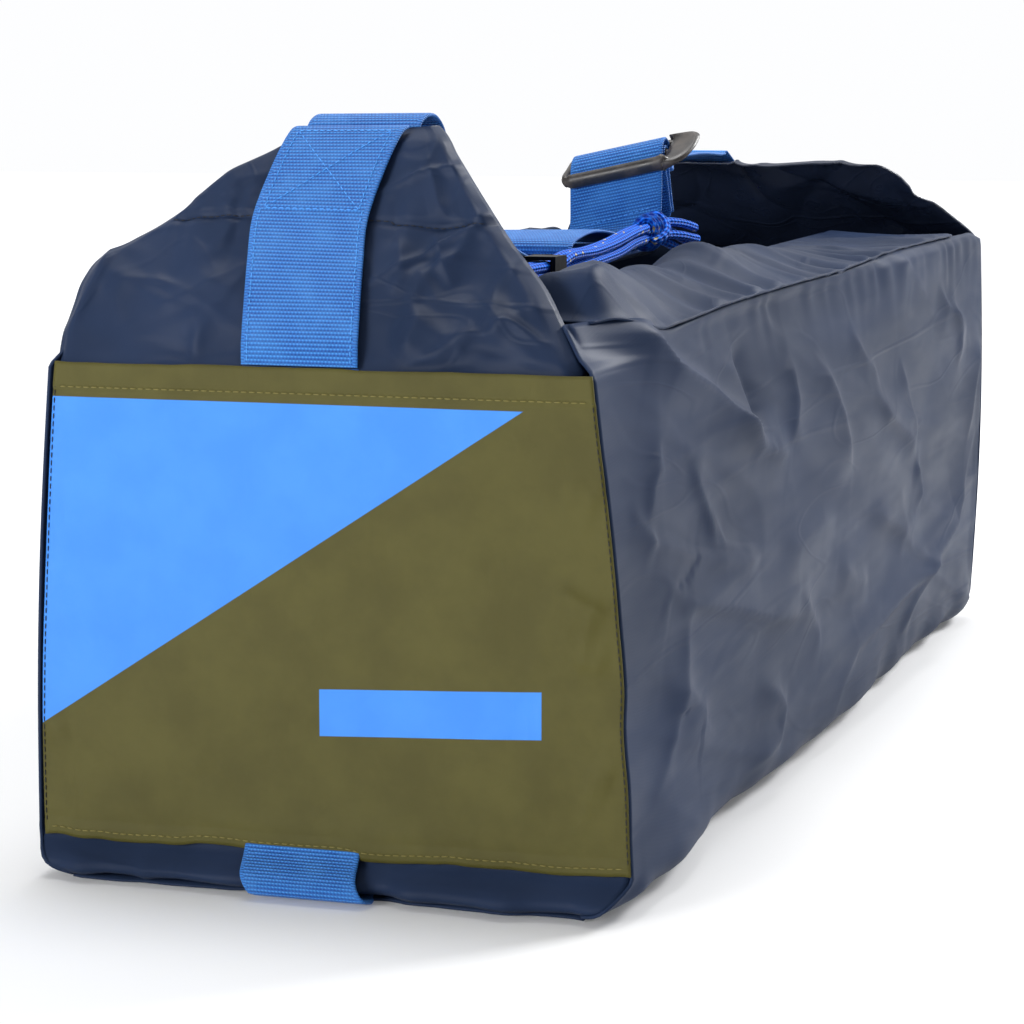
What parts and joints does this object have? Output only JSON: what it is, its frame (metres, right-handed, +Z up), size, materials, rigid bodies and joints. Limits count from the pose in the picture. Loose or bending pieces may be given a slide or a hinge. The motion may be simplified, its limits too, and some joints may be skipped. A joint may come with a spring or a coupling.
{
  "type": "packed vehicle side awning",
  "caption": "Vehicle side awning packed in its long soft carry bag, with webbing carry strap, end flaps, label panel and drawcord.",
  "frame": {"origin": "middle of the bag's base, on the surface it stands on", "axes": "+Z up, +Y along the bag away from the label end, +X to the side with the cord lock"},
  "size_m": [0.27, 0.76, 0.3126],
  "materials": {
    "navy_cloth": "satin woven nylon",
    "olive_cloth": "matt woven cloth with a printed blue block",
    "blue_webbing": "ribbed webbing",
    "drawcord": "braided",
    "slider_plastic": "satin",
    "lock_plastic": "satin",
    "spring_steel": "drawn wire",
    "canopy_cloth": "woven polyester",
    "tie_webbing": "ribbed webbing",
    "inner_bag_cloth": "woven nylon",
    "pole_metal": "anodised tube",
    "peg_metal": "anodised",
    "hook_metal": "zinc plated"
  },
  "bodies": {
    "bag": {"near_end_panel": "navy_cloth", "far_end_panel": "navy_cloth", "right_side_panel": "navy_cloth", "left_side_panel": "navy_cloth", "base_panel": "navy_cloth", "label_panel": "olive_cloth", "belly_strap": "blue_webbing", "near_end_strap": "blue_webbing", "far_end_strap": "blue_webbing", "drawcord_right_outer": "drawcord", "drawcord_right_inner": "drawcord", "drawcord_left_inner": "drawcord", "drawcord_left_outer": "drawcord", "drawcord_knot": "drawcord", "drawcord_tail_1": "drawcord", "drawcord_tail_2": "drawcord", "drawcord_tail_3": "drawcord", "drawcord_tail_4": "drawcord", "canopy_roll": "canopy_cloth", "canopy_tie_near": "tie_webbing", "canopy_tie_far": "tie_webbing", "pole_bag": "inner_bag_cloth", "peg_bag": "inner_bag_cloth", "vehicle_strap_near": "tie_webbing", "vehicle_strap_far": "tie_webbing", "vehicle_hook_near": "hook_metal", "vehicle_hook_far": "hook_metal", "pole_section_1": "pole_metal", "pole_section_2": "pole_metal", "pole_section_3": "pole_metal", "pole_section_4": "pole_metal", "pole_section_5": "pole_metal", "pole_section_6": "pole_metal", "pole_section_7": "pole_metal", "pole_section_8": "pole_metal", "ground_peg_1": "peg_metal", "ground_peg_2": "peg_metal", "ground_peg_3": "peg_metal", "ground_peg_4": "peg_metal"},
    "near_flap": {"near_flap": "navy_cloth", "near_flap_strap": "blue_webbing"},
    "carry_strap": {"carry_strap_near": "blue_webbing", "carry_strap_far": "blue_webbing"},
    "far_flap": {"far_flap": "navy_cloth", "far_flap_strap": "blue_webbing"},
    "slider": {"strap_slider": "slider_plastic"},
    "right_mouth": {"right_mouth_flap": "navy_cloth", "channel_cord_right_inner": "drawcord", "channel_cord_right_outer": "drawcord"},
    "left_mouth": {"left_mouth_flap": "navy_cloth", "channel_cord_left_inner": "drawcord", "channel_cord_left_outer": "drawcord"},
    "cord_lock": {"cord_lock_body": "lock_plastic", "cord_lock_spring": "spring_steel"},
    "cord_button": {"cord_lock_button": "lock_plastic"}
  },
  "joints": [
    {"name": "near_flap_fold", "type": "hinge", "parent": "bag", "child": "near_flap", "pos_m": [0, -0.377, 0.2144], "axis": [1, 0, 0], "range_deg": [-6, 4]},
    {"name": "carry_strap_swing", "type": "hinge", "parent": "near_flap", "child": "carry_strap", "pos_m": [0, -0.3225, 0.3082], "axis": [1, 0, 0], "range_deg": [-5.2, 7.8]},
    {"name": "far_flap_fold", "type": "hinge", "parent": "bag", "child": "far_flap", "pos_m": [0, 0.377, 0.2244], "axis": [1, 0, 0], "range_deg": [-9.9, 6.6]},
    {"name": "slider_tilt", "type": "hinge", "parent": "carry_strap", "child": "slider", "pos_m": [0.0047, 0.024, 0.2845], "axis": [0.9781, 0, 0.2079], "range_deg": [-20, 6]},
    {"name": "right_mouth_open", "type": "hinge", "parent": "bag", "child": "right_mouth", "pos_m": [0.12268, -0.0025, 0.22675], "axis": [0.0226, 0.9997, 0.0107], "range_deg": [0, 35]},
    {"name": "left_mouth_open", "type": "hinge", "parent": "bag", "child": "left_mouth", "pos_m": [-0.12268, -0.0025, 0.22675], "axis": [0.0226, -0.9997, -0.0107], "range_deg": [0, 35]},
    {"name": "cord_lock_slide", "type": "slide", "parent": "bag", "child": "cord_lock", "axis": [0, -1, 0], "range_m": [0, 0.04]},
    {"name": "cord_lock_press", "type": "slide", "parent": "cord_lock", "child": "cord_button", "axis": [0, 0, 1], "range_m": [0, 0.0025], "stiffness_N_per_m": 400, "springref_m": -0.002, "deforming": ["cord_lock_spring"]}
  ],
  "couplings": [
    {"joint": "carry_strap_swing", "follows": "near_flap_fold", "ratio": -1.28},
    {"joint": "far_flap_fold", "follows": "near_flap_fold", "ratio": 1.63}
  ]
}
